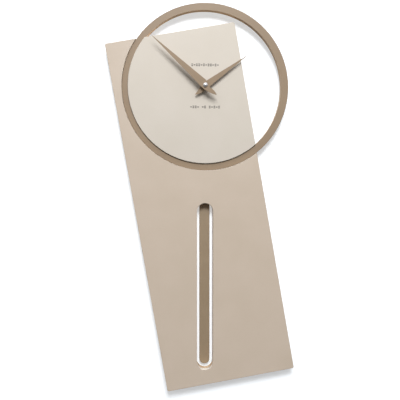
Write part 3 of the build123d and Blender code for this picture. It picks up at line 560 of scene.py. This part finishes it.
def addPlane(name, centre, turn, colour, glow, seeThrough):
    bm = bmesh.new()
    bmesh.ops.create_grid(bm, x_segments=1, y_segments=1, size=studio["planeSize"] / 2)
    bmesh.ops.rotate(bm, cent=(0, 0, 0), matrix=Matrix.Rotation(math.radians(turn), 3, "X"), verts=bm.verts[:])
    bmesh.ops.translate(bm, vec=Vector(centre), verts=bm.verts[:])
    mesh = bpy.data.meshes.new(name)
    bm.to_mesh(mesh)
    bm.free()
    plane = bpy.data.objects.new(name, mesh)
    bpy.context.scene.collection.objects.link(plane)
    # matt emulsion paint: even and pale, with a slight roller stipple
    material, tree, shader, place = newMaterial(name + "Paint", {"colour": colour})
    shader.inputs["Base Color"].default_value = linear(colour)
    settings = {"Scale": noiseScale / studio["stipple"], "Detail": 3.0, "Roughness": 0.5}
    stipple = addNode(tree, "TexNoise", settings, {"Vector": place}).outputs["Fac"]
    settings = {**noiseMiddle, "To Min": studio["smoothest"], "To Max": studio["mattest"]}
    gloss = addNode(tree, "MapRange", settings, {"Value": stipple}).outputs["Result"]
    tree.links.new(gloss, shader.inputs["Roughness"])
    shader.inputs["Specular IOR Level"].default_value = 0.0
    # a lit backdrop: it glows softly to the eye and throws no light on the clock
    path = addNode(tree, "LightPath", {}).outputs
    seen = addNode(tree, "Math", {"operation": "MULTIPLY", 1: glow}, {0: path["Is Camera Ray"]}).outputs[0]
    tree.links.new(seen, shader.inputs["Emission Strength"])
    shader.inputs["Emission Color"].default_value = linear(studio["white"])
    if seeThrough:  # the wall isn't there from behind, and lets the rear lamps through
        behind = addNode(tree, "NewGeometry", {}).outputs["Backfacing"]
        clear = addNode(tree, "Math", {"operation": "MAXIMUM"}, {0: behind, 1: path["Is Shadow Ray"]}).outputs[0]
        glass = addNode(tree, "BsdfTransparent", {}).outputs[0]
        mix = addNode(tree, "MixShader", {}, {0: clear, 1: shader.outputs[0], 2: glass}).outputs[0]
        tree.links.new(mix, tree.nodes["Material Output"].inputs["Surface"])
    plane.visible_diffuse = False
    plane.visible_glossy = False
    mesh.materials.append(material)
    return plane


wallCentre = (0.0, studio["wallGap"], studio["wallMiddle"])
floorCentre = (0.0, 0.0, cadLow.z - studio["floorDrop"])
addPlane("wall", wallCentre, 90.0, studio["wallColour"], studio["wallGlow"], True)
floor = addPlane("floor", floorCentre, 0.0, studio["floorColour"], studio["floorGlow"], False)
floor.visible_shadow = False

# a room that is brighter above and in front; the camera sees it plain
world = bpy.data.worlds.new("studioRoom")
bpy.context.scene.world = world
world.use_nodes = True
world.cycles.sampling_method = "NONE"  # the wall stops room light from behind
tree = world.node_tree
direction = addNode(tree, "TexCoord", {}).outputs["Generated"]
way = addNode(tree, "SeparateXYZ", {}, {"Vector": direction}).outputs
settings = {
    "interpolation_type": "SMOOTHSTEP", "From Min": studio["upward"][0], "From Max": studio["upward"][1],
    "To Min": studio["below"], "To Max": studio["above"],
}
upper = addNode(tree, "MapRange", settings, {"Value": way["Z"]}).outputs["Result"]
settings = {
    "From Min": studio["backward"][0], "From Max": studio["backward"][1],
    "To Min": studio["front"], "To Max": studio["behind"],
}
front = addNode(tree, "MapRange", settings, {"Value": way["Y"]}).outputs["Result"]
room = addNode(tree, "Math", {"operation": "MULTIPLY"}, {0: upper, 1: front}).outputs[0]
cameraRay = addNode(tree, "LightPath", {}).outputs["Is Camera Ray"]
settings = {"data_type": "FLOAT", 3: studio["background"]}
shown = addNode(tree, "Mix", settings, {0: cameraRay, 2: room}).outputs[0]
tree.links.new(shown, tree.nodes["Background"].inputs["Strength"])
tree.nodes["Background"].inputs["Color"].default_value = linear(studio["white"])

# The dial and hands have a lamp of their own, higher than the one for the boards. The wall's lamp is in the same
# place as the boards', only stronger, as a white studio wall is lit. Places and sizes in metres, power in watts.
dialSide = ["dial_plate", "dial_dashes_upper", "dial_dashes_lower", "hour_hand", "minute_hand", "hand_cap_nut"]
middle = (cadLow + cadHigh) / 2
frontPlace = (0.0, -1.34, 0.42)
lamps = {
    "keyLamp": {
        "place": frontPlace, "aim": middle, "size": 0.36, "power": 14.5, "leavesOut": dialSide + ["wall"],
    },
    "dialLamp": {"place": (-0.03, -1.28, 0.94), "aim": hub, "size": 0.8, "power": 24.0, "lights": dialSide},
    "fillLamp": {
        "place": (0.0, -1.0, -0.95), "aim": (0.0, 0.0, -0.45), "size": 1.0, "power": 1.8,
        "lights": ["base_board", "front_panel"],
    },
    "wallLamp": {"place": frontPlace, "aim": middle, "size": 0.42, "power": 25.0, "lights": ["wall"]},
    "rearLampLeft": {"place": (0.9, 1.3, 0.5), "aim": middle, "size": 0.9, "power": 18.0},
    "rearLampRight": {"place": (-0.9, 1.3, 0.7), "aim": middle, "size": 0.9, "power": 14.0},
}
for name, settings in lamps.items():
    lamp = bpy.data.lights.new(name, "AREA")
    lamp.shape = "DISK"
    lamp.size = settings["size"]
    lamp.energy = settings["power"]
    holder = bpy.data.objects.new(name, lamp)
    holder.location = settings["place"]
    aim = Vector(settings["aim"]) - Vector(settings["place"])
    holder.rotation_euler = aim.to_track_quat("-Z", "Y").to_euler()
    bpy.context.scene.collection.objects.link(holder)
    for key, state in (("lights", "INCLUDE"), ("leavesOut", "EXCLUDE")):
        if key in settings:
            group = bpy.data.collections.new(name + "Group")
            holder.light_linking.receiver_collection = group
            for receiver in settings[key]:
                group.objects.link(bpy.data.objects[receiver])
            for entry in group.collection_objects:
                entry.light_linking.link_state = state

# sensor and lens in millimetres, the rest in metres
view = {
    "sensor": 36.0, "lens": 49.37, "nearest": 0.01, "farthest": 100.0,
    "place": (-0.0383, -0.878, -0.2075), "aim": (-0.0078, -0.028, -0.2356),
}
camera = bpy.data.objects.new("camera", bpy.data.cameras.new("camera"))
bpy.context.scene.collection.objects.link(camera)
bpy.context.scene.camera = camera
camera.data.sensor_width = view["sensor"]
camera.data.lens = view["lens"]
camera.data.clip_start = view["nearest"]
camera.data.clip_end = view["farthest"]
camera.location = view["place"]
camera.rotation_euler = (Vector(view["aim"]) - camera.location).to_track_quat("-Z", "Y").to_euler()
bpy.context.scene.view_settings.view_transform = "Standard"
print("studio done")
